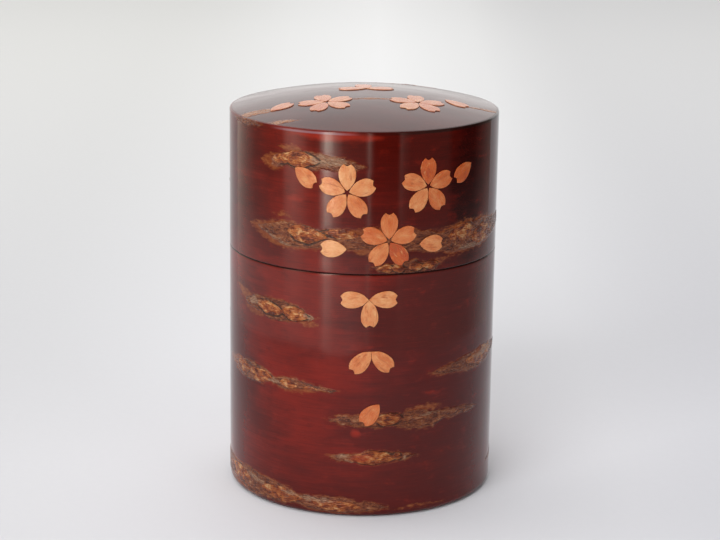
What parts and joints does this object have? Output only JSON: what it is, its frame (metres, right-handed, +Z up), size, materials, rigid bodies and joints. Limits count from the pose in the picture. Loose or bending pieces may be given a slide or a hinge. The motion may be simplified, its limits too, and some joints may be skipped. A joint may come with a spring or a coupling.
{
  "type": "tea canister",
  "caption": "Cylindrical tea canister of polished cherry bark over veneer, with a domed slip-on lid, a knobbed inner lid and raised blossom petals.",
  "frame": {"origin": "centre of the foot, on the table", "axes": "+Z up along the canister's axis, -Y towards the front with the blossoms"},
  "size_m": [0.08, 0.0802, 0.12],
  "materials": {
    "bark": "polished bark, glossy",
    "lining": "thin bark, satin",
    "veneer": "bare rolled veneer",
    "knob": "turned and oiled",
    "petal": "polished pale bark"
  },
  "bodies": {
    "body": {"body_bark": "bark", "body_core": "veneer", "base_board": "veneer", "base_bark": "bark", "inner_sleeve": "veneer", "sleeve_lining": "lining", "floor_lining": "lining", "spigot_bark": "lining", "body_petals_three": "petal", "body_petals_two": "petal", "body_petal_one": "petal"},
    "lid": {"lid_bark": "bark", "lid_core": "veneer", "lid_board": "veneer", "crown_bark": "bark", "lid_lining": "lining", "lid_ceiling": "lining", "wall_blossom_left": "petal", "wall_blossom_right": "petal", "wall_blossom_low": "petal", "wall_petal_upper_left": "petal", "wall_petal_upper_right": "petal", "wall_petal_low_left": "petal", "wall_petal_low_right": "petal", "crown_blossom_left": "petal", "crown_blossom_right": "petal", "crown_petals_centre": "petal", "crown_petal_left": "petal", "crown_petal_right": "petal"},
    "inner_lid": {"inner_lid_board": "veneer", "inner_lid_plug": "veneer", "plug_lining": "lining", "inner_lid_bark": "lining", "inner_lid_knob": "knob"}
  },
  "joints": [
    {"name": "lid_lift", "type": "slide", "parent": "body", "child": "lid", "axis": [0, 0, 1], "range_m": [0, 0.07]},
    {"name": "inner_lid_lift", "type": "slide", "parent": "body", "child": "inner_lid", "axis": [0, 0, 1], "range_m": [0, 0.009]}
  ]
}
